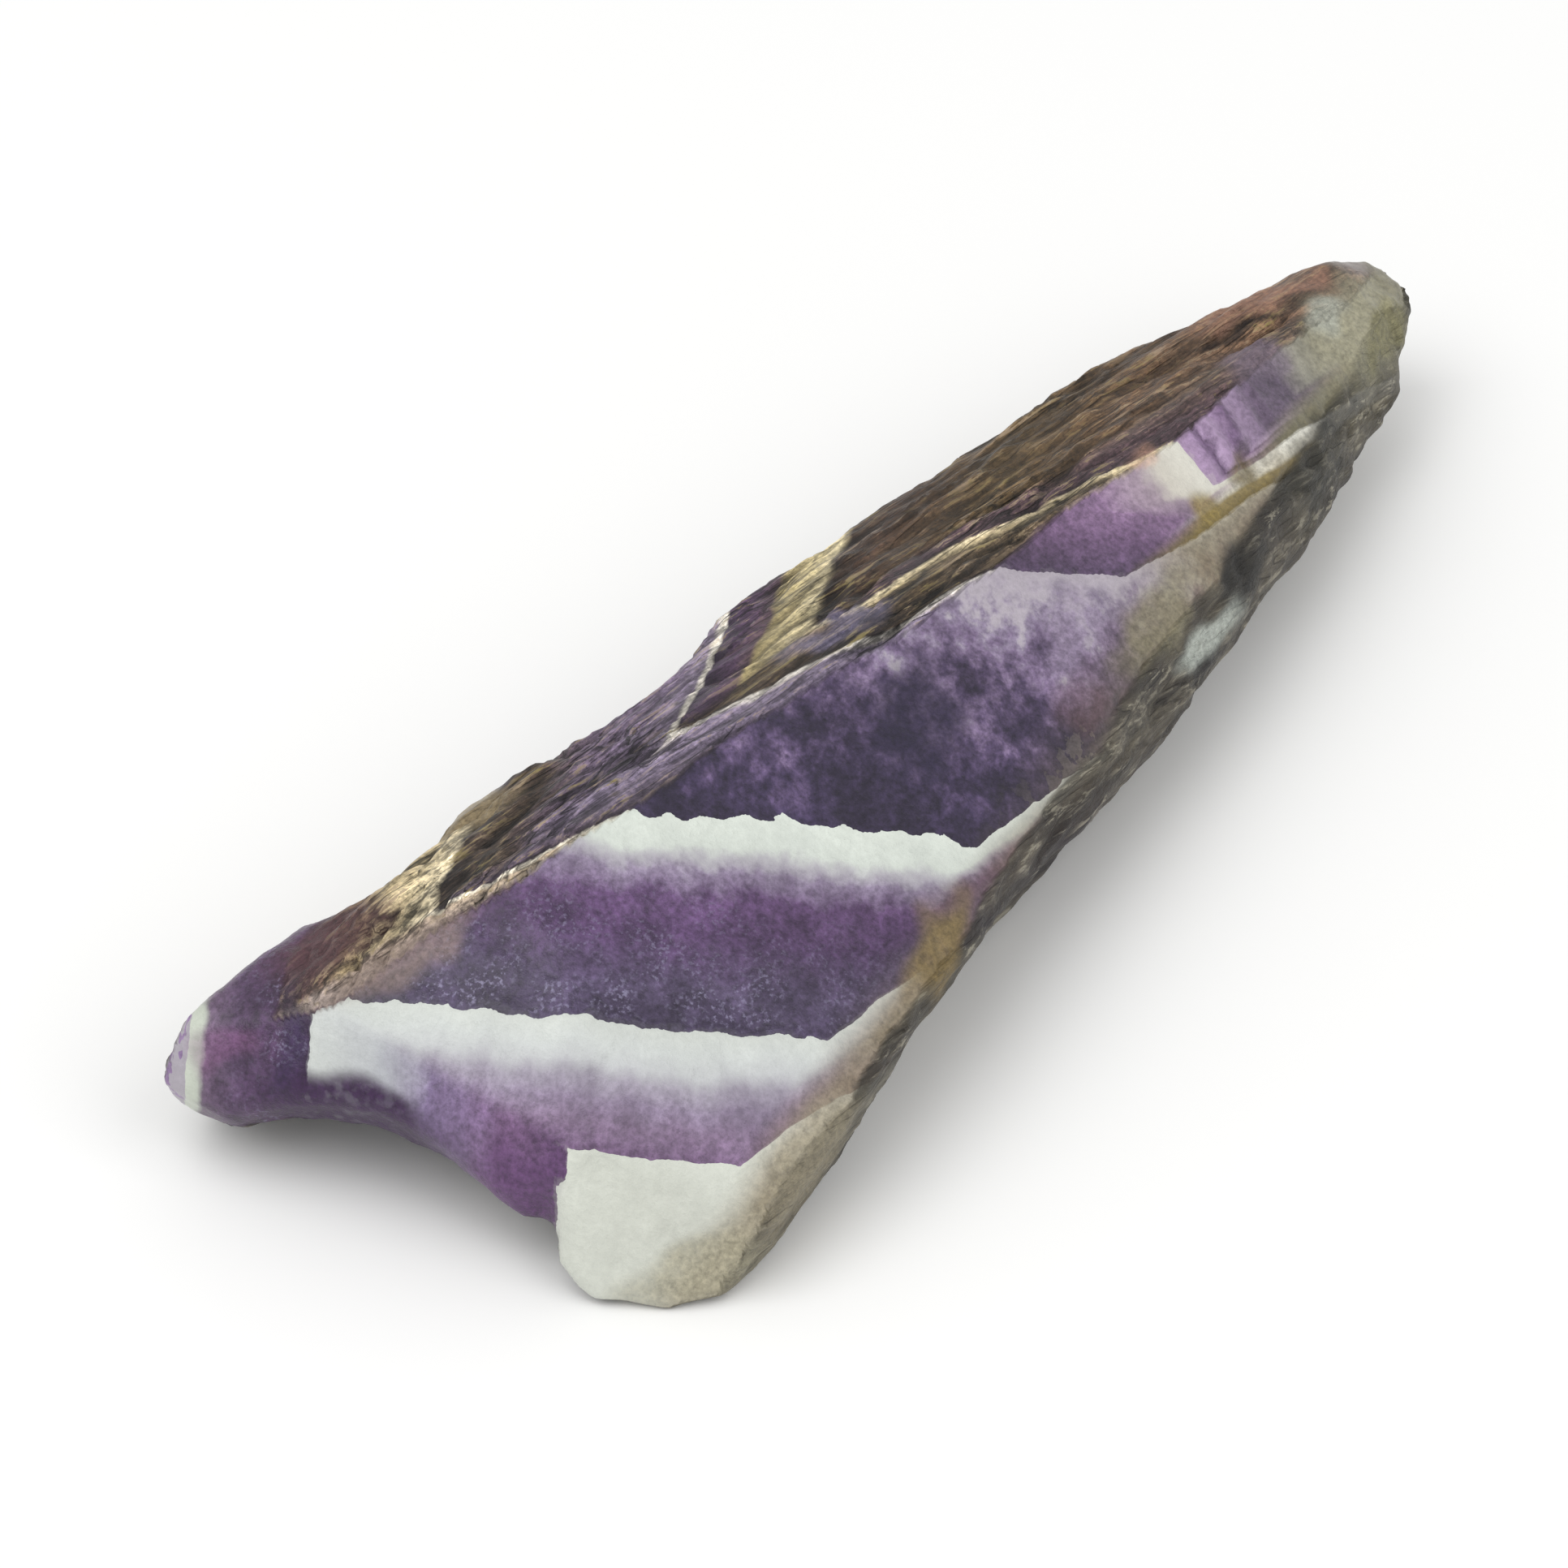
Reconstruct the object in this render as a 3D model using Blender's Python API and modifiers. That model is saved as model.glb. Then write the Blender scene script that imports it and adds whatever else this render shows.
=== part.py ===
"""Chevron amethyst: one rough, pointed piece of banded vein quartz, lying on its flattest break.

Lengths are in millimetres and are turned to metres when the mesh is made. The blunt end is at -X and
the point at +X, +Z is up, and the origin is on the resting plane, below the middle of the stone's box.
The banded face looks to -Y and up. The stone is a hull of broken faces through the corners below, with
shell-shaped breaks scooped out of it and a low relief of fibres and ripples over it.
"""

import math

import bmesh
import bpy
from mathutils import Matrix, Vector, noise

STONE_NAME = "chevron_amethyst"
MM = 0.001

# Corner lines that run from the blunt end to the point, as (x, y, z).
# The ridge parts the banded face, below it on the -Y side, from the fibrous face behind it.
RIDGE = (
    (-33.5, 7.0, 9.0),
    (-25.0, 3.5, 12.5),
    (-21.5, 2.0, 13.0),
    (3.0, -0.5, 11.5),
    (17.5, -2.0, 10.5),
    (26.5, -1.0, 9.5),
    (35.5, 0.5, 8.0),
)
# The rim is the banded face's low edge, over the dark side.
RIM = (
    (-29.5, -12.2, 3.6),
    (-25.0, -11.9, 5.5),
    (-19.0, -12.0, 6.5),
    (-9.5, -10.5, 7.5),
    (11.5, -7.5, 8.0),
    (24.0, -5.5, 7.5),
    (34.5, -2.5, 7.0),
)
# The toe is the dark side's low edge, where it turns under.
TOE = (
    (-30.0, -11.0, 0.8),
    (-6.0, -9.4, 4.8),
    (13.0, -8.4, 4.9),
    (25.5, -6.3, 4.0),
    (33.5, -4.4, 4.0),
)
# The back edge is the far side of the fibrous face.
BACK_EDGE = (
    (-32.5, 11.9, 8.0),
    (-28.5, 10.8, 8.5),
    (7.0, 7.5, 8.4),
    (21.5, 5.5, 8.0),
    (33.5, 2.5, 7.0),
)
BACK_TOE = (
    (-32.0, 14.3, 2.5),
    (-15.0, 11.0, 3.0),
    (5.0, 9.5, 3.0),
    (22.0, 7.0, 3.0),
    (34.0, 3.0, 3.5),
)
# The blunt end: the bend where the banded face turns down to it, the foot and the lobe.
END_BEND = ((-29.5, -2.5, 10.0), (-26.0, -6.5, 8.5))
FOOT = (
    (-33.0, -4.0, 6.5),
    (-31.0, -7.0, 6.2),
    (-29.0, -10.0, 5.5),
    (-34.7, -7.0, 0.5),
    (-33.2, -9.5, 0.0),
    (-31.4, -11.2, 0.3),
)
LOBE = (
    (-37.7, 13.3, 4.6),
    (-37.2, 10.6, 4.4),
    (-36.3, 12.7, 7.0),
    (-36.4, 13.5, 2.5),
    (-34.6, 11.6, 1.8),
    (-34.3, 13.7, 0.8),
)
POINT = ((38.7, 0.3, 6.3), (38.7, -2.2, 5.3))
# The underside's corners, just below the resting plane, which cuts their lumps off flat.
UNDERSIDE = ((-32.0, -9.5, -0.35), (-32.2, 11.3, -0.35), (25.0, 2.0, -0.35), (25.0, -1.5, -0.35))

# Shell-shaped breaks, each an ellipsoid: middle, half lengths, and its turn about Z in degrees.
SCOOPS = {
    "end_scoop": ((-39.9, 1.9, 0.0), (7.0, 10.1, 8.0), 0.0),
    "end_arch": ((-33.5, 3.1, 0.0), (7.0, 9.0, 3.4), 0.0),
    "foot_crease": ((-34.4, -4.0, 3.6), (1.0, 0.9, 3.4), 0.0),
    "side_scoop": ((-7.0, -16.0, 0.0), (19.0, 8.5, 7.5), 0.0),
    "back_flute": ((-24.0, 18.6, 9.5), (9.0, 9.0, 10.0), 0.0),
    "back_hollow": ((-9.0, 17.2, 8.0), (12.5, 9.5, 8.0), -3.0),
    "point_pocket": ((19.8, -5.0, 9.6), (2.4, 1.3, 1.6), 10.0),
    "rim_chip": ((13.8, -6.0, 9.9), (2.2, 1.2, 1.4), 10.0),
    "rim_groove": ((26.5, -6.7, 6.2), (8.5, 1.3, 1.3), 12.0),
    "back_groove": ((26.7, 0.8, 9.1), (6.5, 0.9, 1.1), -21.0),
}

SCOOP_SUBDIVISIONS = 4
SLAB_SIDE = 120.0

CELL = 0.5  # mesh spacing while the relief is carved
EDGE_ROUNDING = 0.5
EDGE_ROUNDING_PASSES = 2
MAX_TRIANGLES = 8000

# Splinters along the stone, with sharp crests and round furrows.
FIBRE_HEIGHT = 0.25
FIBRE_CREST = 0.5
FIBRE_FURROW = 2.0
FIBRE_LENGTH = 16.0
FIBRE_PITCH = 2.2
# Ledges on the back, which step down away from the ridge. Each rises for most of its width, then drops.
LEDGE_HEIGHT = 0.3
LEDGE_PITCH = 3.2
LEDGE_DROP_FROM = 0.8
LEDGE_MIDDLE = 0.3
LEDGE_WOBBLE = 1.2
LEDGE_WOBBLE_LENGTH = 12.0
LEDGE_SLANT = 0.12
# Broad, low waves of the smooth breaks, and lumps of the rough ones.
WAVE_HEIGHT = 0.22
WAVE_LENGTH = 8.0
LUMP_HEIGHT = 0.3
LUMP_LENGTH = 5.0

# Parts of a unit normal between which one kind of surface gives way to another.
BEHIND_RIDGE_Y = (-0.05, 0.15)
UNDER_RIM_Z = (0.6, 0.4)
BLUNT_END_X = (0.5, 0.7)
UPWARD_Z = (0.4, 0.8)

STONE_COLOUR = (0.2, 0.14, 0.23, 1.0)
STONE_ROUGHNESS = 0.42


def remove_old_objects():
    for old in list(bpy.data.objects):
        bpy.data.objects.remove(old, do_unlink=True)


def new_collection(name):
    collection = bpy.data.collections.new(name)
    bpy.context.scene.collection.children.link(collection)
    return collection


def object_from(bm, name, collection):
    mesh = bpy.data.meshes.new(name)
    bm.to_mesh(mesh)
    bm.free()
    result = bpy.data.objects.new(name, mesh)
    collection.objects.link(result)
    return result


def broken_block(collection):
    """The stone as flat breaks only: the hull through its corners."""
    bm = bmesh.new()
    for line in (RIDGE, RIM, TOE, BACK_EDGE, BACK_TOE, END_BEND, FOOT, LOBE, POINT, UNDERSIDE):
        for corner in line:
            bm.verts.new(Vector(corner) * MM)
    hull = bmesh.ops.convex_hull(bm, input=bm.verts)
    bmesh.ops.delete(bm, geom=hull["geom_interior"], context="VERTS")
    bmesh.ops.recalc_face_normals(bm, faces=bm.faces)
    return object_from(bm, STONE_NAME, collection)


def scoop_cutter(name, middle, half_lengths, turn, collection):
    bm = bmesh.new()
    bmesh.ops.create_icosphere(bm, subdivisions=SCOOP_SUBDIVISIONS, radius=1.0)
    size = Matrix.Diagonal((*(length * MM for length in half_lengths), 1.0))
    turned = Matrix.Rotation(math.radians(turn), 4, "Z")
    bm.transform(Matrix.Translation(Vector(middle) * MM) @ turned @ size)
    return hidden_cutter(object_from(bm, name, collection))


def slab_cutter(collection):
    """Everything below the resting plane."""
    bm = bmesh.new()
    bmesh.ops.create_cube(bm, size=SLAB_SIDE * MM)
    bm.transform(Matrix.Translation((0.0, 0.0, -SLAB_SIDE * MM / 2)))
    return hidden_cutter(object_from(bm, "resting_plane", collection))


def hidden_cutter(cutter):
    cutter.hide_render = True
    cutter.display_type = "WIRE"
    return cutter


def cut(stone, cutter):
    modifier = stone.modifiers.new(cutter.name, "BOOLEAN")
    modifier.operation = "DIFFERENCE"
    modifier.solver = "EXACT"
    modifier.object = cutter


def settle_modifiers(stone):
    """Turn the object's modifiers into its own mesh."""
    evaluated = stone.evaluated_get(bpy.context.evaluated_depsgraph_get())
    finished = bpy.data.meshes.new_from_object(evaluated)
    stone.modifiers.clear()
    stone.data = finished


def even_mesh(stone):
    remesh = stone.modifiers.new("even_mesh", "REMESH")
    remesh.mode = "VOXEL"
    remesh.voxel_size = CELL * MM
    settle_modifiers(stone)


def smooth_step(span, value):
    """None at the span's first value, one at its second, and smooth between them."""
    start, end = span
    share = min(1.0, max(0.0, (value - start) / (end - start)))
    return share * share * (3.0 - 2.0 * share)


def fibrous_share(normal):
    """One behind the ridge and under the rim, none on the banded face and the blunt end."""
    behind_ridge = smooth_step(BEHIND_RIDGE_Y, normal.y)
    under_rim = smooth_step(UNDER_RIM_Z, normal.z)
    blunt_end = smooth_step(BLUNT_END_X, -normal.x)
    return max(behind_ridge, under_rim) * (1.0 - blunt_end)


def fibre_height(place):
    spot = Vector((place.x / FIBRE_LENGTH, place.y / FIBRE_PITCH, place.z / FIBRE_PITCH))
    return FIBRE_HEIGHT * (FIBRE_CREST - FIBRE_FURROW * abs(noise.noise(spot)))


def ledge_height(place):
    wobble = LEDGE_WOBBLE * noise.noise(place / LEDGE_WOBBLE_LENGTH)
    steps = (place.y + LEDGE_SLANT * place.x + wobble) / LEDGE_PITCH
    part_way = steps - math.floor(steps)
    return LEDGE_HEIGHT * (part_way - smooth_step((LEDGE_DROP_FROM, 1.0), part_way) - LEDGE_MIDDLE)


def relief_height(place, normal):
    waves = WAVE_HEIGHT * noise.noise(place / WAVE_LENGTH)
    lumps = LUMP_HEIGHT * noise.noise(place / LUMP_LENGTH)
    upward = smooth_step(UPWARD_Z, normal.z)
    rough = fibre_height(place) + upward * ledge_height(place) + (1.0 - upward) * lumps
    fibrous = fibrous_share(normal)
    return fibrous * rough + (1.0 - fibrous) * waves


def carve_relief(stone):
    """Round the breaks' sharp edges a little, then raise and sink the surface along its normals."""
    bm = bmesh.new()
    bm.from_mesh(stone.data)
    every_way = {"use_axis_x": True, "use_axis_y": True, "use_axis_z": True}
    for _ in range(EDGE_ROUNDING_PASSES):
        bmesh.ops.smooth_vert(bm, verts=bm.verts, factor=EDGE_ROUNDING, **every_way)
    bm.normal_update()
    moves = [vertex.normal * relief_height(vertex.co / MM, vertex.normal) * MM for vertex in bm.verts]
    for vertex, move in zip(bm.verts, moves):
        vertex.co += move
    bm.to_mesh(stone.data)
    bm.free()


def thin_out(stone):
    """Leave small triangles where the stone bends and large ones where it is flat."""
    bm = bmesh.new()
    bm.from_mesh(stone.data)
    bmesh.ops.triangulate(bm, faces=bm.faces)
    bm.to_mesh(stone.data)
    bm.free()
    decimate = stone.modifiers.new("thin_out", "DECIMATE")
    decimate.ratio = min(1.0, MAX_TRIANGLES / len(stone.data.polygons))
    settle_modifiers(stone)


def stand_on_origin(stone):
    """Put the middle of the box over the origin; the resting plane is at no height already."""
    xs = [vertex.co.x for vertex in stone.data.vertices]
    ys = [vertex.co.y for vertex in stone.data.vertices]
    middle = Vector(((min(xs) + max(xs)) / 2, (min(ys) + max(ys)) / 2, 0.0))
    stone.data.transform(Matrix.Translation(-middle))


def amethyst_material():
    material = bpy.data.materials.new("banded_amethyst_quartz")
    material.use_nodes = True
    shader = material.node_tree.nodes["Principled BSDF"]
    shader.inputs["Base Color"].default_value = STONE_COLOUR
    shader.inputs["Roughness"].default_value = STONE_ROUGHNESS
    shader.inputs["Metallic"].default_value = 0.0
    return material


remove_old_objects()
stones = new_collection(STONE_NAME)
cutters = new_collection("cutters")

amethyst = broken_block(stones)
for scoop_name, (scoop_middle, scoop_half_lengths, scoop_turn) in SCOOPS.items():
    cut(amethyst, scoop_cutter(scoop_name, scoop_middle, scoop_half_lengths, scoop_turn, cutters))
settle_modifiers(amethyst)
even_mesh(amethyst)
carve_relief(amethyst)
thin_out(amethyst)
cut(amethyst, slab_cutter(cutters))
settle_modifiers(amethyst)
stand_on_origin(amethyst)
amethyst.data.materials.append(amethyst_material())
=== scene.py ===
"""Chevron amethyst: one rough piece of banded vein quartz, lying on a pale table.

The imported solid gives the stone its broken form. This script cuts splinters, ledges and chips into a fine
copy of it, works out which coat of quartz each spot belongs to, and colours the coats. Lengths are in
millimetres until they reach Blender. +X is towards the stone's point and +Z is up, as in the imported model.
"""

import math

import bmesh
import bpy
from mathutils import Matrix, Vector, noise


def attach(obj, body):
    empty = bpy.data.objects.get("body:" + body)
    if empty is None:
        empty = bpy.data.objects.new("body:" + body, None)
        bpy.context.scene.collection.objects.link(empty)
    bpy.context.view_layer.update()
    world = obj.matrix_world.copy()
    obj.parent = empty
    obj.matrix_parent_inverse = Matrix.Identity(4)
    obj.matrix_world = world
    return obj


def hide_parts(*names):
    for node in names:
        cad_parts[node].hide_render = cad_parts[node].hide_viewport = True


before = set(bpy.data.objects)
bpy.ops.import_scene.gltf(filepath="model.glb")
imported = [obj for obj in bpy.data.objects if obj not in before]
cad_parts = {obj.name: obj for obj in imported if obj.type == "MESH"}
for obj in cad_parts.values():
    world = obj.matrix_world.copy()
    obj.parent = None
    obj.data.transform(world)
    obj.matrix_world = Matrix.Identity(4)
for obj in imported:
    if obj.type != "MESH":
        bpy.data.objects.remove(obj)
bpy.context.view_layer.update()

# The broken stone. The real piece is massive vein quartz, snapped out of its rock by hand: shell-shaped
# breaks cross its growth, splintery ones run along it, and nothing is fixed to it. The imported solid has
# this form in facets. Here a copy of it gets a mesh fine enough for splinters, and loses the facets.
MM = 0.001
FINE_CELL = 0.23
SOFTENING = 0.5
SOFTENING_PASSES = 4
MERGE_DISTANCE = 0.001
# Noise vectors start from a random place unless they are given a seed.
NOISE_SEED = 3
noise.seed_set(NOISE_SEED)


def fine_copy(node, name):
    """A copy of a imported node, remeshed evenly and finely."""
    bm = bmesh.new()
    bm.from_mesh(node.data)
    bmesh.ops.remove_doubles(bm, verts=bm.verts, dist=MERGE_DISTANCE * MM)
    mesh = bpy.data.meshes.new(name)
    bm.to_mesh(mesh)
    bm.free()
    copy = bpy.data.objects.new(name, mesh)
    bpy.context.scene.collection.objects.link(copy)
    remesh = copy.modifiers.new("fine_mesh", "REMESH")
    remesh.mode = "VOXEL"
    remesh.voxel_size = FINE_CELL * MM
    remesh.use_smooth_shade = True
    evaluated = copy.evaluated_get(bpy.context.evaluated_depsgraph_get())
    finished = bpy.data.meshes.new_from_object(evaluated)
    copy.modifiers.clear()
    copy.data = finished
    return copy


def soften(stone):
    """Smooth the facets away."""
    bm = bmesh.new()
    bm.from_mesh(stone.data)
    every_way = {"use_axis_x": True, "use_axis_y": True, "use_axis_z": True}
    for _ in range(SOFTENING_PASSES):
        bmesh.ops.smooth_vert(bm, verts=bm.verts, factor=SOFTENING, **every_way)
    bm.to_mesh(stone.data)
    bm.free()


stone = fine_copy(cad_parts["chevron_amethyst"], "banded_stone")
soften(stone)

# How the quartz grew. Its crystals stood side by side as columns that fan out in one plane. The bands are
# coats of purple and white quartz on the columns' tips, so they cross a column straight and turn in a
# chevron where two columns meet. A spot's age counts the coats below it: 0 in the foot, 5 in the point.
FAN_MIDDLE = Vector((-9.0, 0.7, 6.0))
FAN_RIGHT = Vector((0.566, -0.824, 0.0))
FAN_UP = Vector((0.530, 0.364, 0.766))
FAN_DEPTH = FAN_RIGHT.cross(FAN_UP)
# A column's direction in the fan, in degrees from right to up, and where along it the coats 0 to 5 start.
COLUMNS = {
    "main": (84.3, (-15.7, -10.4, -1.7, 10.4, 15.1, 20.0)),
    "point": (33.5, (-60.0, -40.0, -20.0, 11.0, 23.3, 30.5)),
    "rim": (123.0, (-12.1, -9.8, -6.5, -0.7, 0.6, 2.4)),
    "strip": (118.0, (-0.3, 0.9, 2.2, 4.0, 5.5, 7.0)),
    "back": (-23.6, (-21.0, -17.0, -11.3, -5.0, -1.8, 8.0)),
    "end": (173.0, (7.0, 18.0, 23.1, 26.0, 29.0, 32.0)),
}
COLUMN_WOBBLE = 0.35
COLUMN_WOBBLE_LENGTH = 5.0
# Ages over which one column's look gives way to its neighbour's.
BACK_BLEND = (-0.03, 0.03)
STRIP_BLEND = (-0.1, 0.1)
RIM_BLEND = (-0.1, 0.5)
END_BLEND = (-0.1, 0.1)


def smooth_step(span, value):
    """None at the span's first value, one at its second, and smooth between them."""
    start, end = span
    share = min(1.0, max(0.0, (value - start) / (end - start)))
    return share * share * (3.0 - 2.0 * share)


def fan_place(place):
    """A place as distances to the right, up and deep in the columns' fan."""
    offset = place - FAN_MIDDLE
    return Vector((offset.dot(FAN_RIGHT), offset.dot(FAN_UP), offset.dot(FAN_DEPTH)))


def along_column(name, in_fan):
    angle = math.radians(COLUMNS[name][0])
    return in_fan.x * math.cos(angle) + in_fan.y * math.sin(angle)


def column_age(name, in_fan):
    """Age of the quartz at a place if one column holds it, in even steps between its coats' starts."""
    coat_starts = COLUMNS[name][1]
    distance = along_column(name, in_fan)
    coat = 0
    while coat < len(coat_starts) - 2 and distance > coat_starts[coat + 1]:
        coat += 1
    return coat + (distance - coat_starts[coat]) / (coat_starts[coat + 1] - coat_starts[coat])


def growth(place):
    """Age of the quartz at a place, and how much of the back, strip, rim and end columns' look it has."""
    wobbly = place + COLUMN_WOBBLE * noise.noise_vector(place / COLUMN_WOBBLE_LENGTH)
    in_fan = fan_place(wobbly)
    age = {name: column_age(name, in_fan) for name in COLUMNS}
    front = min(age["main"], age["point"])
    middle = min(front, age["rim"])
    lower = max(middle, age["end"])
    upper = min(age["back"], age["strip"])
    back_share = smooth_step(BACK_BLEND, upper - lower)
    strip_share = back_share * smooth_step(STRIP_BLEND, age["back"] - age["strip"])
    rim_share = smooth_step(RIM_BLEND, front - age["rim"])
    end_share = smooth_step(END_BLEND, age["end"] - middle)
    return max(lower, upper), back_share, strip_share, rim_share, end_share


# The stone's surface. Along the growth it broke into splinters and dark crevices, the banded break is
# smooth with a sugary grain, its rim is chipped, and coats of the point stand up as small ledges. The
# flat that it rests on stays flat.
SPLINTER_AXIS = Vector((0.992, -0.115, -0.057))
CREVICE_DEPTH = 1.1
CREVICE_LENGTH = 12.0
CREVICE_PITCH = 1.05
CREVICE_SHOULDER = 0.26
CREVICE_SINK = 0.2
SPLINTER_HEIGHT = 0.6
SPLINTER_CREST = 0.24
SPLINTER_LENGTH = 5.0
SPLINTER_PITCH = 0.65
SPLINTER_WAVE = 0.8
SPLINTER_WAVE_LENGTH = 6.0
CALM_LENGTH = 9.0
CALM_SPAN = (-0.25, 0.15)
CALM_LEAST = 0.6
LOBE_CALM = 0.35
LOBE_AGE = (1.1, 1.7)
SIDE_RELIEF = 0.3
TIP_X = (27.0, 33.0)
WAVE_HEIGHT = 0.14
WAVE_LENGTH = 4.0
DIMPLE_HEIGHT = 0.09
DIMPLE_LENGTH = 1.4
GRAIN_HEIGHT = 0.04
GRAIN_LENGTH = 0.5
LEDGE_MIDDLE = Vector((19.3, -3.4, 9.7))
LEDGE_REACH = (4.0, 2.2)
LEDGE_HEIGHT = 0.32
LEDGE_PITCH = 0.95
LEDGE_RISE_FROM = 0.6
LEDGE_MIDDLE_SHARE = 0.3
CHIP_DEPTH = 0.5
CHIP_LENGTH = 1.5
# Spans of the normal's parts, over which the rim, the side under it and the blunt end are told apart.
RIM_TURN = 0.62
RIM_TURN_WIDTH = (0.3, 0.1)
RIM_FACING_Y = (-0.1, -0.4)
UNDER_RIM_Z = (0.57, 0.45)
BELOW_RIM_Y = (-0.62, -0.74)
BLUNT_END_X = (0.5, 0.7)
# Heights over which the relief fades in above the flat.
RESTING_HEIGHT = (0.1, 0.7)
FULL_RELIEF = 0.3


def splinter_height(place):
    """Sharp crevices that part round bundles of sharper splinters, all along the stone."""
    bent = place + SPLINTER_WAVE * noise.noise_vector(place / SPLINTER_WAVE_LENGTH)
    along = bent.dot(SPLINTER_AXIS)
    across = bent - along * SPLINTER_AXIS
    wide = across / CREVICE_PITCH + SPLINTER_AXIS * along / CREVICE_LENGTH
    narrow = across / SPLINTER_PITCH + SPLINTER_AXIS * along / SPLINTER_LENGTH
    crevices = CREVICE_DEPTH * (min(CREVICE_SHOULDER, abs(noise.noise(wide))) - CREVICE_SINK)
    splinters = SPLINTER_HEIGHT * (SPLINTER_CREST - abs(noise.noise(narrow)))
    return crevices + splinters


def ledge_height(place):
    near = smooth_step(LEDGE_REACH, (place - LEDGE_MIDDLE).length)
    steps = along_column("point", fan_place(place)) / LEDGE_PITCH
    part_way = steps - math.floor(steps)
    risen = smooth_step((LEDGE_RISE_FROM, 1.0), part_way)
    return near * LEDGE_HEIGHT * (LEDGE_MIDDLE_SHARE - part_way + risen)


def chip_depth(place, normal):
    at_rim = smooth_step(RIM_TURN_WIDTH, abs(normal.z - RIM_TURN)) * smooth_step(RIM_FACING_Y, normal.y)
    return at_rim * CHIP_DEPTH * max(0.0, noise.noise(place / CHIP_LENGTH))


def relief(place, normal, age, back_share):
    """Height of the relief at a place, and how fibrous and how raised it is, both from none to one."""
    side = max(smooth_step(UNDER_RIM_Z, normal.z), smooth_step(BELOW_RIM_Y, normal.y))
    side *= 1.0 - smooth_step(BLUNT_END_X, -normal.x)
    calm = CALM_LEAST + (1.0 - CALM_LEAST) * smooth_step(CALM_SPAN, noise.noise(place / CALM_LENGTH))
    calm *= LOBE_CALM + (1.0 - LOBE_CALM) * smooth_step(LOBE_AGE, age)
    rough = max(SIDE_RELIEF * side, back_share * calm) * (1.0 - smooth_step(TIP_X, place.x))
    fibrous = max(side, back_share * calm)
    splinters = splinter_height(place)
    waves = WAVE_HEIGHT * noise.noise(place / WAVE_LENGTH)
    dimples = DIMPLE_HEIGHT * noise.noise(place / DIMPLE_LENGTH)
    grain = GRAIN_HEIGHT * noise.noise(place / GRAIN_LENGTH)
    smooth = waves + dimples + grain + ledge_height(place) - chip_depth(place, normal)
    raised = min(1.0, max(0.0, 0.5 + splinters / (2.0 * FULL_RELIEF)))
    off_table = smooth_step(RESTING_HEIGHT, place.z)
    height = off_table * (rough * splinters + (1.0 - rough) * smooth)
    return height, fibrous, raised, side


# Stains, odd patches and painted shade. Iron has crept in along the rim and the back as gold, olive and tan,
# the lobe is reddish, and a few spots are clear, white or nearly black. Two dark purple blots in the hollow
# under the blunt end and a near-black line in the groove beneath the salmon strip are painted shade. Each is
# a soft
# blot inside the quartz: its middle, half its length and width, how it leans in the fan in degrees, its
# colour and its strength.
STAINS_AND_SHADE = (
    ((-6.6, -4.5, 10.3), (3.8, 2.4), 80, "#241e36", 0.75),
    ((3.5, -5.9, 9.5), (3.0, 1.5), 75, "#94869c", 0.55),
    ((-4.5, 0.7, 11.7), (3.4, 0.6), 32, "#8d86a4", 0.5),
    ((0.5, -8.4, 8.6), (2.4, 1.2), 60, "#5b4346", 0.45),
    ((-15.2, -11.3, 7.3), (3.4, 1.2), 62, "#776642", 0.95),
    ((14.4, -5.9, 8.9), (1.5, 0.8), 35, "#8a7840", 0.8),
    ((7.1, -8.0, 8.3), (3.8, 1.3), 57, "#807a60", 0.75),
    ((-26.8, -13.0, 4.6), (4.2, 1.7), 62, "#8f8670", 0.7),
    ((18.0, -5.4, 8.6), (1.3, 0.7), 25, "#66582f", 0.8),
    ((30.0, 0.8, 8.4), (5.0, 0.7), 26, "#a47c68", 0.65),
    # Painted shade: this near-black line darkens the groove beneath the salmon strip near the tip.
    ((27.0, 0.3, 8.4), (3.5, 0.35), 27, "#1e1512", 0.85),
    ((24.8, -2.3, 9.4), (2.4, 1.1), 30, "#786a7a", 0.7),
    ((32.2, -3.3, 7.3), (5.0, 2.6), 50, "#9c9880", 0.7),
    ((31.0, -2.2, 8.1), (2.0, 0.9), 55, "#a9ada2", 0.7),
    ((33.5, -4.0, 6.6), (3.4, 0.7), 62, "#7f7a52", 0.6),
    ((36.0, -0.5, 7.4), (1.6, 1.2), 0, "#8e8286", 0.6),
    ((22.5, -6.7, 6.6), (4.5, 1.3), 55, "#262622", 0.7),
    ((13.7, -8.3, 6.6), (2.4, 1.2), 55, "#1f1e1d", 0.85),
    ((9.8, -9.0, 5.8), (3.4, 0.9), 40, "#b4bab2", 0.85),
    ((14.2, -2.3, 10.4), (1.2, 0.6), 30, "#c0947f", 0.5),
    # Painted shade: these two dark purple blots, on dark purple quartz, darken the hollow under the blunt
    # end's lower edge.
    ((-34.7, 4.0, 4.6), (4.6, 1.5), -18, "#34193f", 1.0),
    ((-34.3, 4.4, 3.4), (5.0, 2.2), -20, "#351c41", 1.0),
    ((-34.5, -3.5, 4.6), (2.0, 2.2), 90, "#593664", 0.65),
    ((-31.1, 8.2, 9.6), (3.4, 1.7), 35, "#54343a", 0.7),
    ((-35.2, 7.4, 7.2), (2.4, 0.9), 80, "#2e2145", 0.6),
    ((-36.4, 10.0, 6.5), (1.7, 0.9), 40, "#82557f", 0.45),
    ((-31.1, 4.4, 10.2), (3.6, 1.0), 35, "#8a776c", 0.6),
    ((-21.0, 8.8, 8.8), (2.6, 2.0), 0, "#8f7f62", 1.0),
    ((-32.2, -10.8, 1.4), (3.8, 1.5), 20, "#9a947d", 0.7),
)
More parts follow.
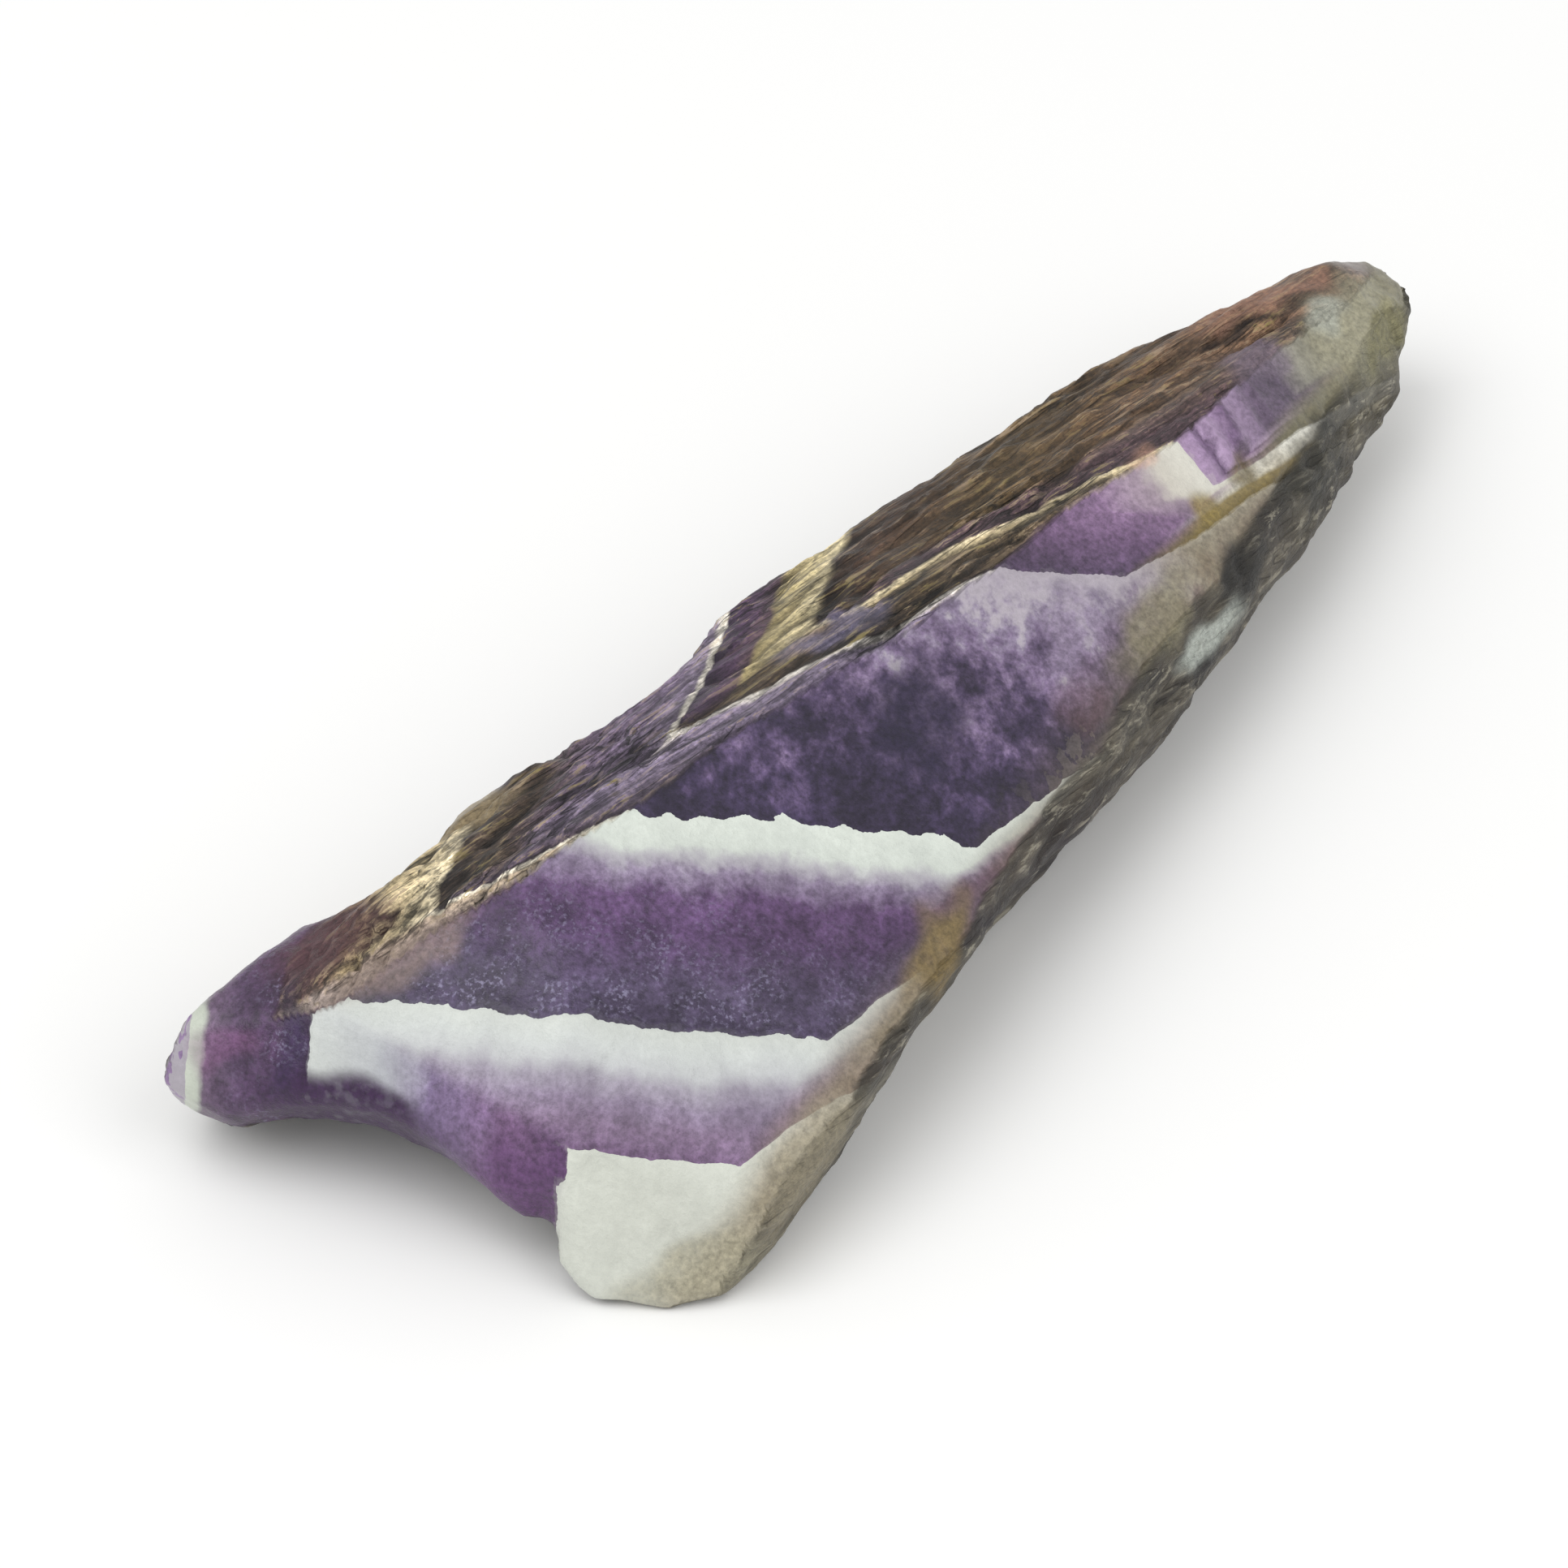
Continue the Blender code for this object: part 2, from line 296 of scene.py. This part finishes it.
# A blot fades out over this span of its half lengths, and none of it is farther off than its reach.
BLOT_EDGE = (1.2, 0.5)
BLOT_REACH = 2.0
BLOT_WOBBLE = 0.8
BLOT_WOBBLE_LENGTH = 1.9


def linear(hex_colour):
    """An sRGB hex value as the linear colour that Blender's sockets hold."""
    values = [int(hex_colour[i:i + 2], 16) / 255.0 for i in (1, 3, 5)]
    return [v / 12.92 if v <= 0.04045 else ((v + 0.055) / 1.055) ** 2.4 for v in values] + [1.0]


def stain_and_shade_at(place):
    """The colour of the stains and the painted shade at a place, laid over each other and weighted by their
    cover, and the cover.
    """
    wobbly = place + BLOT_WOBBLE * noise.noise_vector(place / BLOT_WOBBLE_LENGTH)
    colour = Vector((0.0, 0.0, 0.0))
    cover = 0.0
    for middle, (half_length, half_width), lean, hex_colour, strength in STAINS_AND_SHADE:
        offset = wobbly - Vector(middle)
        if offset.length > BLOT_REACH * half_length:
            continue
        right = offset.dot(FAN_RIGHT)
        up = offset.dot(FAN_UP)
        turn = math.radians(lean)
        along = (right * math.cos(turn) + up * math.sin(turn)) / half_length
        across = (up * math.cos(turn) - right * math.sin(turn)) / half_width
        deep = offset.dot(FAN_DEPTH) / half_length
        amount = strength * smooth_step(BLOT_EDGE, math.sqrt(along ** 2 + across ** 2 + deep ** 2))
        colour = colour * (1.0 - amount) + Vector(linear(hex_colour)[:3]) * amount
        cover = cover * (1.0 - amount) + amount
    return [*colour, cover]


MARKS = ("age", "back", "strip", "rim", "end", "fibrous", "raised", "side")


def carve_and_mark(mesh):
    """Cut the relief, and keep with each spot what the colour needs to know of it."""
    marks = {name: [] for name in MARKS}
    stains_and_shade = []
    places = []
    for vertex in mesh.vertices:
        place = vertex.co / MM
        age, back_share, strip_share, rim_share, end_share = growth(place)
        height, fibrous, raised, side = relief(place, vertex.normal, age, back_share)
        places.append(vertex.co + vertex.normal * height * MM)
        spot = (age, back_share, strip_share, rim_share, end_share, fibrous, raised, side)
        for name, value in zip(MARKS, spot):
            marks[name].append(value)
        stains_and_shade.extend(stain_and_shade_at(place))
    for vertex, place in zip(mesh.vertices, places):
        vertex.co = place
        vertex.co.z = max(0.0, place.z)
    for name, values in marks.items():
        mesh.attributes.new(name, "FLOAT", "POINT").data.foreach_set("value", values)
    mesh.attributes.new("stain_and_shade", "FLOAT_COLOR", "POINT").data.foreach_set("color", stains_and_shade)


carve_and_mark(stone.data)

# The stone's material. Amethyst is quartz, purple from iron, and milky where it holds fluid bubbles. This
# piece is massive and cloudy, so light goes a little way in but nothing shows through it. A fresh break
# has a waxy to glassy lustre, and the splintery sides are duller. Places are read in millimetres.
TO_MILLIMETRES = 1000.0
# Sizes of the patterns in millimetres, and to what share some are squeezed, which draws them out.
CRYSTAL_TIP = 1.3
TEAR = 0.7
CLOUD = 3.2
STREAK = 0.8
STREAK_SQUEEZE = 0.2
SUGAR = 0.3
THREAD = 0.35
THREAD_BUNDLE = 1.5
CRACK = 1.1
THREAD_SQUEEZE = 0.1
# Sizes of the painted glints of crystal facets and of their clusters.
GLINT = 0.2
GLINT_CLUSTER = 1.7
BUMP_HEIGHT = 0.12
MAIN_TURN = math.radians(COLUMNS["main"][0])
MAIN_GROWTH = FAN_RIGHT * math.cos(MAIN_TURN) + FAN_UP * math.sin(MAIN_TURN)
QUARTZ_IOR = 1.544
# Each column's coats, as ages and the colours there. A ramp holds 32 colours at most, so the banded face
# has two, one for the coats that are older than an age and one for the younger ones.
YOUNG_FROM = 2.0
OLD_COATS = (
    (-1.2, "#a4a295"), (-0.6, "#c4c6bc"), (-0.01, "#cdd0c6"),
    (0.01, "#6e5775"), (0.2, "#79657f"), (0.4, "#86788f"), (0.56, "#9b94a2"), (0.7, "#bfc1c2"),
    (0.84, "#c9cdca"), (0.99, "#cacec8"),
    (1.01, "#3d334b"), (1.2, "#4a3f58"), (1.45, "#4a3556"), (1.62, "#573f63"),
    (1.73, "#85788f"), (1.8, "#b3b1b6"), (1.85, "#ced4cc"), (1.995, "#d6dcd3"),
)
YOUNG_COATS_AND_LEDGE_SHADING = (
    (2.01, "#2c243a"), (2.2, "#352b45"), (2.45, "#4d3f5c"), (2.7, "#756481"),
    (2.86, "#867a90"), (2.985, "#b0a8b1"),
    (3.01, "#46384f"), (3.35, "#664f6d"), (3.65, "#7b6280"), (3.8, "#a08f9c"), (3.87, "#cdc8bd"),
    (3.99, "#d8d6cb"),
    # Coat 4's quick light and dark steps are painted light and shade on the point's ledges: pale lilac
    # faces, dark purple shadow between.
    (4.01, "#a990af"), (4.09, "#947c9c"), (4.13, "#5b4663"), (4.19, "#a78fae"), (4.26, "#907898"),
    (4.3, "#6a5373"), (4.36, "#9d88a4"), (4.5, "#67576d"), (4.8, "#5b4f60"), (4.95, "#8f8c80"),
    (5.1, "#8a8674"), (6.3, "#807b68"),
)
BACK_COATS = (
    (0.3, "#4b3340"), (1.0, "#573b41"), (1.3, "#4b3941"), (1.52, "#685244"), (1.6, "#9f8e6c"),
    (1.8, "#c0b08c"), (1.98, "#cfc2a4"),
    (2.01, "#3a302b"), (2.25, "#46392f"), (2.5, "#5c4f60"), (2.8, "#716379"),
    (2.955, "#807487"), (2.965, "#ddd6ca"), (2.998, "#ddd6ca"), (3.01, "#413347"), (3.3, "#543f56"),
    (3.44, "#5f4a54"), (3.5, "#b0a073"), (3.8, "#c4b58a"), (3.98, "#d0c29c"), (4.01, "#33261f"),
    (4.15, "#4d3a2e"), (4.5, "#5c4a30"), (4.9, "#57422f"), (5.3, "#6b5340"), (6.0, "#72564a"),
)
STRIP_COATS = (
    (0.6, "#93827c"), (1.4, "#968880"), (1.86, "#a3927e"), (1.92, "#d6ccb8"), (1.98, "#dcd4c3"),
    (2.02, "#453a44"), (2.5, "#6c6174"), (2.84, "#7e7286"), (2.93, "#d2cac2"), (2.98, "#d8d2c8"),
    (3.02, "#3a2f28"), (3.5, "#5a4b39"), (3.8, "#6f604a"), (3.9, "#d3c19a"), (3.98, "#dccdaa"),
    (4.02, "#4a3a40"), (4.5, "#604a50"), (5.2, "#6f5c4c"),
)
RIM_COATS = (
    (-1.2, "#857b60"), (-0.3, "#b3ad9d"), (-0.01, "#bdb8aa"), (0.02, "#84746a"), (0.6, "#857b6a"),
    (0.9, "#94897c"), (0.99, "#9f988b"), (1.02, "#5d4f5c"), (1.4, "#5f4c5d"), (1.7, "#6a574a"),
    (1.95, "#7d7062"), (1.995, "#8d8376"),
    (2.03, "#3f3742"), (2.4, "#5f534f"), (2.75, "#7d7263"), (2.95, "#8f8776"), (2.99, "#a39c8c"),
    (3.03, "#6f6036"), (3.4, "#8a7b52"), (3.55, "#c9c4b4"), (3.99, "#d8d6cb"),
    (4.04, "#6b6650"), (4.8, "#7f7b67"),
)
END_COATS = (
    (-1.2, "#a4a295"), (-0.6, "#c4c6bc"), (-0.01, "#cdd0c6"),
    (0.01, "#4e3357"), (0.25, "#654b6b"), (0.5, "#776788"), (0.72, "#aeb0b5"), (0.99, "#c9cdc9"),
    (1.01, "#2f1f39"), (1.2, "#432d4b"), (1.6, "#4f3b57"), (1.84, "#655369"), (1.9, "#bfc5b8"),
    (1.99, "#c6ccbf"),
    (2.03, "#8d749b"), (2.6, "#9a82a6"), (3.2, "#8c7896"),
)

quartz = bpy.data.materials.new("banded_amethyst_quartz")
quartz.use_nodes = True
quartz.node_tree.nodes.clear()

# A MapRange takes a value (0) from one span (1 to 2) to another (3 to 4) and holds it at the ends. A colour
# Mix goes from one colour (6) to another (7) by its share (0).
COLOUR_MIX = {"output": 2, "data_type": "RGBA"}


def add_node(kind, inputs=None, output=0, **settings):
    """A new node with its settings. Its inputs take values or outputs, and one of its outputs comes back."""
    node = quartz.node_tree.nodes.new("ShaderNode" + kind)
    for name, value in settings.items():
        setattr(node, name, value)
    for socket, value in (inputs or {}).items():
        if isinstance(value, bpy.types.NodeSocket):
            quartz.node_tree.links.new(value, node.inputs[socket])
        else:
            node.inputs[socket].default_value = value
    return node.outputs[output] if node.outputs else node


def coat_colours(age, coats):
    """The colour of each age in one column of the growth."""
    start, end = coats[0][0], coats[-1][0]
    share = add_node("MapRange", {0: age, 1: start, 2: end})
    ramp = add_node("ValToRGB", {"Fac": share})
    elements = ramp.node.color_ramp.elements
    elements.remove(elements[0])
    for number, (at_age, hex_colour) in enumerate(coats):
        position = (at_age - start) / (end - start)
        element = elements[0] if number == 0 else elements.new(position)
        element.position = position
        element.color = linear(hex_colour)
    return ramp


def squeezed(place, direction, share):
    """Places with their distance along a direction cut to a share, so that a pattern is drawn out there."""
    along = add_node("VectorMath", {0: place, 1: direction}, output="Value", operation="DOT_PRODUCT")
    less = add_node("Math", {0: along, 1: share - 1.0}, operation="MULTIPLY")
    step = add_node("VectorMath", {0: direction, "Scale": less}, operation="SCALE")
    return add_node("VectorMath", {0: place, 1: step}, operation="ADD")


def softer_gain(gain, share):
    """A gain kept only by a share, and one where the share is none."""
    extra = add_node("Math", {0: gain, 1: 1.0}, operation="SUBTRACT")
    kept = add_node("Math", {0: extra, 1: share}, operation="MULTIPLY")
    return add_node("Math", {0: kept, 1: 1.0}, operation="ADD")


object_place = add_node("TexCoord", output="Object")
place = add_node("VectorMath", {0: object_place, "Scale": TO_MILLIMETRES}, operation="SCALE")
columnar = squeezed(place, MAIN_GROWTH, STREAK_SQUEEZE)
threaded = squeezed(place, SPLINTER_AXIS, THREAD_SQUEEZE)

# Grain: the crystals' tips, tears, clouds, streaks along the growth, fine sugar, threads and cracks.
tips = add_node("TexVoronoi", {"Vector": columnar, "Scale": 1.0 / CRYSTAL_TIP}, output="Distance")
tears = add_node("TexNoise", {"Vector": place, "Scale": 1.0 / TEAR, "Detail": 3.0})
clouds = add_node("TexNoise", {"Vector": place, "Scale": 1.0 / CLOUD, "Detail": 4.0, "Roughness": 0.6})
streaks = add_node("TexNoise", {"Vector": columnar, "Scale": 1.0 / STREAK, "Detail": 4.0, "Roughness": 0.6})
sugar = add_node("TexNoise", {"Vector": place, "Scale": 1.0 / SUGAR, "Detail": 3.0, "Roughness": 0.7})
threads = add_node("TexNoise", {"Vector": threaded, "Scale": 1.0 / THREAD, "Detail": 4.0, "Roughness": 0.7})
bundles = add_node("TexNoise", {"Vector": threaded, "Scale": 1.0 / THREAD_BUNDLE, "Detail": 2.0})
cracks = add_node("TexNoise", {"Vector": threaded, "Scale": 1.0 / CRACK, "Detail": 2.0, "Roughness": 0.6})

# The coats' clean edges are toothed by the crystal tips. Below them the milkiness ends in streaks, so the
# age that sets the tone is uneven inside a coat, and true where the next one starts.
true_age = add_node("Attribute", output="Fac", attribute_name="age")
tip_tooth = add_node("MapRange", {0: tips, 1: 0.0, 2: 0.9, 3: 0.025, 4: -0.03})
torn_tooth = add_node("MapRange", {0: tears, 1: 0.3, 2: 0.7, 3: -0.012, 4: 0.012})
tooth = add_node("Math", {0: tip_tooth, 1: torn_tooth})
tooth_share = add_node("MapRange", {0: true_age, 1: 2.3, 2: 2.7, 3: 1.0, 4: 0.25})
tooth = add_node("Math", {0: tooth, 1: tooth_share}, operation="MULTIPLY")
age = add_node("Math", {0: true_age, 1: tooth})
coat = add_node("Math", {0: age}, operation="FLOOR")
part = add_node("Math", {0: age, 1: coat}, operation="SUBTRACT")
patchy = add_node("MapRange", {0: clouds, 1: 0.3, 2: 0.7, 3: -0.1, 4: 0.1})
streaky = add_node("MapRange", {0: streaks, 1: 0.3, 2: 0.7, 3: -0.08, 4: 0.08})
uneven = add_node("Math", {0: patchy, 1: streaky})
# Coat 2 is the most uneven one, and each coat gets more even towards its clean edge.
for value, spans in (
    (true_age, {1: 1.9, 2: 2.1, 3: 0.25, 4: 2.8}),
    (true_age, {1: 2.9, 2: 3.05, 3: 1.0, 4: 0.1}),
    (part, {1: 0.7, 2: 0.97, 3: 1.0, 4: 0.25}),
):
    share = add_node("MapRange", {0: value, **spans})
    uneven = add_node("Math", {0: uneven, 1: share}, operation="MULTIPLY")
part = add_node("Math", {0: part, 1: uneven})
part = add_node("Clamp", {"Value": part, "Min": 0.012, "Max": 0.985})
tone_age = add_node("Math", {0: coat, 1: part})

# Coats of the banded face: white, then lilac, then purple below each clean edge, older ones first.
is_young = add_node("Math", {0: age, 1: YOUNG_FROM}, operation="GREATER_THAN")
old = coat_colours(tone_age, OLD_COATS)
young_coats_and_ledge_shading = coat_colours(tone_age, YOUNG_COATS_AND_LEDGE_SHADING)
front = add_node("Mix", {0: is_young, 6: old, 7: young_coats_and_ledge_shading}, **COLOUR_MIX)
end = coat_colours(tone_age, END_COATS)
end_share = add_node("Attribute", output="Fac", attribute_name="end")
front = add_node("Mix", {0: end_share, 6: front, 7: end}, **COLOUR_MIX)

# Cloudiness of the purple, strong where it is dark and faint where it is milky.
gain = add_node("MapRange", {0: clouds, 1: 0.34, 2: 0.66, 3: 0.7, 4: 1.35})
for pattern, least, most in ((streaks, 0.8, 1.25), (sugar, 0.66, 1.42)):
    factor = add_node("MapRange", {0: pattern, 1: 0.34, 2: 0.66, 3: least, 4: most})
    gain = add_node("Math", {0: gain, 1: factor}, operation="MULTIPLY")
brightness = add_node("RGBToBW", {"Color": front})
darkness = add_node("MapRange", {0: brightness, 1: 0.05, 2: 0.4, 3: 1.0, 4: 0.1})
front = add_node("VectorMath", {0: front, "Scale": softer_gain(gain, darkness)}, operation="SCALE")

# Painted glints: clusters of lilac specks low in coat 1, on the stone's left, where crystal facets would
# glint.
glint_grain = add_node("TexNoise", {"Vector": place, "Scale": 1.0 / GLINT, "Detail": 2.0, "Roughness": 0.6})
glint_clusters = add_node("TexNoise", {"Vector": place, "Scale": 1.0 / GLINT_CLUSTER, "Detail": 1.0})
rightward = add_node("VectorMath", {0: place, 1: FAN_RIGHT}, output="Value", operation="DOT_PRODUCT")
painted_glints = add_node("MapRange", {0: glint_grain, 1: 0.53, 2: 0.68, 3: 0.0, 4: 0.75})
for value, low, high in (
    (glint_clusters, 0.36, 0.62),
    (age, 1.0, 1.05),
    (age, 1.75, 1.2),
    (rightward, 1.0, -9.0),
):
    share = add_node("MapRange", {0: value, 1: low, 2: high})
    painted_glints = add_node("Math", {0: painted_glints, 1: share}, operation="MULTIPLY")
front = add_node("Mix", {0: painted_glints, 6: front, 7: linear("#8f89a6")}, **COLOUR_MIX)

# Splinters: threads, nearly black in the crevices as painted shade, pale on the crests as painted highlight.
raised = add_node("Attribute", output="Fac", attribute_name="raised")
fibrous = add_node("Attribute", output="Fac", attribute_name="fibrous")
thread_and_crevice_shade_gain = add_node("MapRange", {0: threads, 1: 0.42, 2: 0.58, 3: 0.35, 4: 1.75})
# Painted shade darkens the splinters' low crevices and painted light brightens their crests.
crevice_shade_and_crest_light = add_node("MapRange", {0: raised, 1: 0.15, 2: 0.75, 3: 0.4, 4: 1.3})
off_crack = add_node("Math", {0: cracks, 1: 0.5}, operation="SUBTRACT")
off_crack = add_node("Math", {0: off_crack}, operation="ABSOLUTE")
crack_gain = add_node("MapRange", {0: off_crack, 1: 0.0, 2: 0.025, 3: 0.15, 4: 1.0})
for factor in (crevice_shade_and_crest_light, crack_gain):
    thread_and_crevice_shade_gain = add_node("Math", {0: thread_and_crevice_shade_gain, 1: factor}, operation="MULTIPLY")
# The pale threads are real; keeping them to the crests paints a highlight there.
pale_thread_crest_highlight = add_node("MapRange", {0: threads, 1: 0.55, 2: 0.6})
crest_highlight_share = add_node("MapRange", {0: raised, 1: 0.35, 2: 0.7, 3: 0.15, 4: 0.85})
for share in (crest_highlight_share, fibrous):
    pale_thread_crest_highlight = add_node("Math", {0: pale_thread_crest_highlight, 1: share}, operation="MULTIPLY")

# The back and the strip along the ridge: purple and honey-coloured coats seen through the splinters.
back = coat_colours(age, BACK_COATS)
strip = coat_colours(age, STRIP_COATS)
strip_share = add_node("Attribute", output="Fac", attribute_name="strip")
back = add_node("Mix", {0: strip_share, 6: back, 7: strip}, **COLOUR_MIX)
sugar_gain = add_node("MapRange", {0: sugar, 1: 0.32, 2: 0.68, 3: 0.6, 4: 1.5})
bundle_gain = add_node("MapRange", {0: bundles, 1: 0.4, 2: 0.6, 3: 0.55, 4: 1.3})
for factor in (softer_gain(thread_and_crevice_shade_gain, fibrous), sugar_gain, softer_gain(bundle_gain, fibrous)):
    back = add_node("VectorMath", {0: back, "Scale": factor}, operation="SCALE")
olive_share = add_node("MapRange", {0: clouds, 1: 0.42, 2: 0.58})
# The pale threads' tan and olive colour, shown on the crests as painted highlight.
edge = add_node("Mix", {0: olive_share, 6: linear("#b8a288"), 7: linear("#988a55")}, **COLOUR_MIX)
back = add_node("Mix", {0: pale_thread_crest_highlight, 6: back, 7: edge}, **COLOUR_MIX)

# The rim is stained tan between the coats. Under it the quartz is smoky, olive-grey and threaded, with the
# bands showing faintly in it.
rim = coat_colours(tone_age, RIM_COATS)
tan_share = add_node("MapRange", {0: clouds, 1: 0.4, 2: 0.65, 3: 0.0, 4: 0.45})
rim = add_node("Mix", {0: tan_share, 6: rim, 7: linear("#77694f")}, **COLOUR_MIX)
sugar_gain = add_node("MapRange", {0: sugar, 1: 0.32, 2: 0.68, 3: 0.75, 4: 1.3})
rim = add_node("VectorMath", {0: rim, "Scale": sugar_gain}, operation="SCALE")
olive_share = add_node("MapRange", {0: bundles, 1: 0.38, 2: 0.62})
smoky = add_node("Mix", {0: olive_share, 6: linear("#24231f"), 7: linear("#5d584c")}, **COLOUR_MIX)
# The smoky side takes the threads' painted crevice shade and crest light, and the pale threads as painted
# highlight.
smoky = add_node("VectorMath", {0: smoky, "Scale": softer_gain(thread_and_crevice_shade_gain, 0.6)}, operation="SCALE")
smoky = add_node("Mix", {0: pale_thread_crest_highlight, 6: smoky, 7: linear("#9d9887")}, **COLOUR_MIX)

rim_share = add_node("Attribute", output="Fac", attribute_name="rim")
side_share = add_node("Attribute", output="Fac", attribute_name="side")
side_share = add_node("Math", {0: side_share, 1: 0.85}, operation="MULTIPLY")
back_share = add_node("Attribute", output="Fac", attribute_name="back")
body = front
for share, colour in ((rim_share, rim), (side_share, smoky), (back_share, back)):
    body = add_node("Mix", {0: share, 6: body, 7: colour}, **COLOUR_MIX)

# Stains and painted shade, broken up by the grain. Their colour is already weighted by their cover.
blot_share = add_node("MapRange", {0: tears, 1: 0.35, 2: 0.5, 3: 0.88, 4: 1.0})
stain_and_shade_cover = add_node("Attribute", output="Alpha", attribute_name="stain_and_shade")
stain_and_shade_cover = add_node("Math", {0: stain_and_shade_cover, 1: blot_share}, operation="MULTIPLY")
stain_and_shade_colour = add_node("Attribute", output="Color", attribute_name="stain_and_shade")
mottle = add_node("MapRange", {0: sugar, 1: 0.32, 2: 0.68, 3: 0.7, 4: 1.35})
for factor in (blot_share, mottle):
    stain_and_shade_colour = add_node("VectorMath", {0: stain_and_shade_colour, "Scale": factor}, operation="SCALE")
body = add_node("Mix", {0: stain_and_shade_cover, 6: body, 7: linear("#000000")}, **COLOUR_MIX)
body = add_node("VectorMath", {0: body, 1: stain_and_shade_colour}, operation="ADD")

# Lustre: waxy to glassy on the banded break, duller on the splinters. Threads and sugar are felt as well.
dullness = add_node("MapRange", {0: fibrous, 1: 0.0, 2: 1.0, 3: 0.36, 4: 0.55})
sugar_dullness = add_node("MapRange", {0: sugar, 1: 0.3, 2: 0.7, 3: -0.07, 4: 0.1})
dullness = add_node("Math", {0: dullness, 1: sugar_dullness})
threads_felt = add_node("Math", {0: crack_gain, 1: 0.25, 2: threads}, operation="MULTIPLY_ADD")
felt_share = add_node("MapRange", {0: fibrous, 1: 0.0, 2: 1.0, 3: 0.0, 4: 4.0})
threads_felt = add_node("Math", {0: threads_felt, 1: felt_share}, operation="MULTIPLY")
bumps = add_node("Math", {0: sugar, 1: 0.8, 2: threads_felt}, operation="MULTIPLY_ADD")
bump = add_node("Bump", {"Height": bumps, "Strength": 0.8, "Distance": BUMP_HEIGHT * MM})
shader = add_node("BsdfPrincipled", {
    "Base Color": body,
    "Roughness": dullness,
    "Normal": bump,
    "IOR": QUARTZ_IOR,
    "Specular IOR Level": 0.35,
    "Coat Weight": 0.08,
    "Coat Roughness": 0.25,
})
add_node("OutputMaterial", {"Surface": shader})

stone.data.materials.clear()
stone.data.materials.append(quartz)
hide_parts("chevron_amethyst")
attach(stone, "root")

# The table: a sheet of matt white board, larger than the view. It isn't part of the object.
TABLE_SIDE = 1600.0
TABLE_GAP = 0.02
board = bpy.data.materials.new("matt_white_board")
board.use_nodes = True
table_shader = board.node_tree.nodes["Principled BSDF"]
table_shader.inputs["Base Color"].default_value = linear("#fafaf9")
table_shader.inputs["Roughness"].default_value = 0.7
table_shader.inputs["Specular IOR Level"].default_value = 0.2

bm = bmesh.new()
bmesh.ops.create_grid(bm, x_segments=1, y_segments=1, size=TABLE_SIDE * MM / 2)
table_mesh = bpy.data.meshes.new("table")
bm.to_mesh(table_mesh)
bm.free()
table_mesh.transform(Matrix.Translation((0.0, 0.0, -TABLE_GAP * MM)))
table = bpy.data.objects.new("table", table_mesh)
table.data.materials.append(board)
bpy.context.scene.collection.objects.link(table)

# The light: one large soft box high on the left, a weaker one on the right, and a pale room.
STONE_MIDDLE = Vector((-8.95, 0.73, 6.0)) * MM


def towards(azimuth, elevation):
    """The way out from the stone at an azimuth from its front and an elevation, both in degrees."""
    turn = math.radians(azimuth)
    rise = math.radians(elevation)
    return Vector((math.sin(turn) * math.cos(rise), -math.cos(turn) * math.cos(rise), math.sin(rise)))


def aim_at_stone(thing, way, distance):
    thing.location = STONE_MIDDLE + way * distance * MM
    thing.rotation_mode = "QUATERNION"
    thing.rotation_quaternion = (-way).to_track_quat("-Z", "Y")
    bpy.context.scene.collection.objects.link(thing)


def soft_box(name, azimuth, elevation, distance, side, power):
    light = bpy.data.lights.new(name, "AREA")
    light.size = side * MM
    light.energy = power
    aim_at_stone(bpy.data.objects.new(name, light), towards(azimuth, elevation), distance)


soft_box("key_light", azimuth=-115, elevation=60, distance=600, side=550, power=1.6)
soft_box("fill_light", azimuth=0, elevation=45, distance=700, side=500, power=1.0)
room = bpy.data.worlds.new("pale_room")
room.use_nodes = True
room.node_tree.nodes["Background"].inputs["Color"].default_value = (1.0, 1.0, 1.0, 1.0)
room.node_tree.nodes["Background"].inputs["Strength"].default_value = 0.66
bpy.context.scene.world = room
bpy.context.scene.view_settings.view_transform = "Standard"

# The camera: from the photograph's side and height, with a long lens so that the stone fills the picture.
LENS = 172.5
SENSOR_WIDTH = 36.0
NEAREST_SEEN = 10.0
camera_data = bpy.data.cameras.new("camera")
camera_data.lens = LENS
camera_data.sensor_width = SENSOR_WIDTH
camera_data.clip_start = NEAREST_SEEN * MM
camera = bpy.data.objects.new("camera", camera_data)
aim_at_stone(camera, towards(azimuth=-55.5, elevation=40.0), distance=324.0)
bpy.context.scene.camera = camera
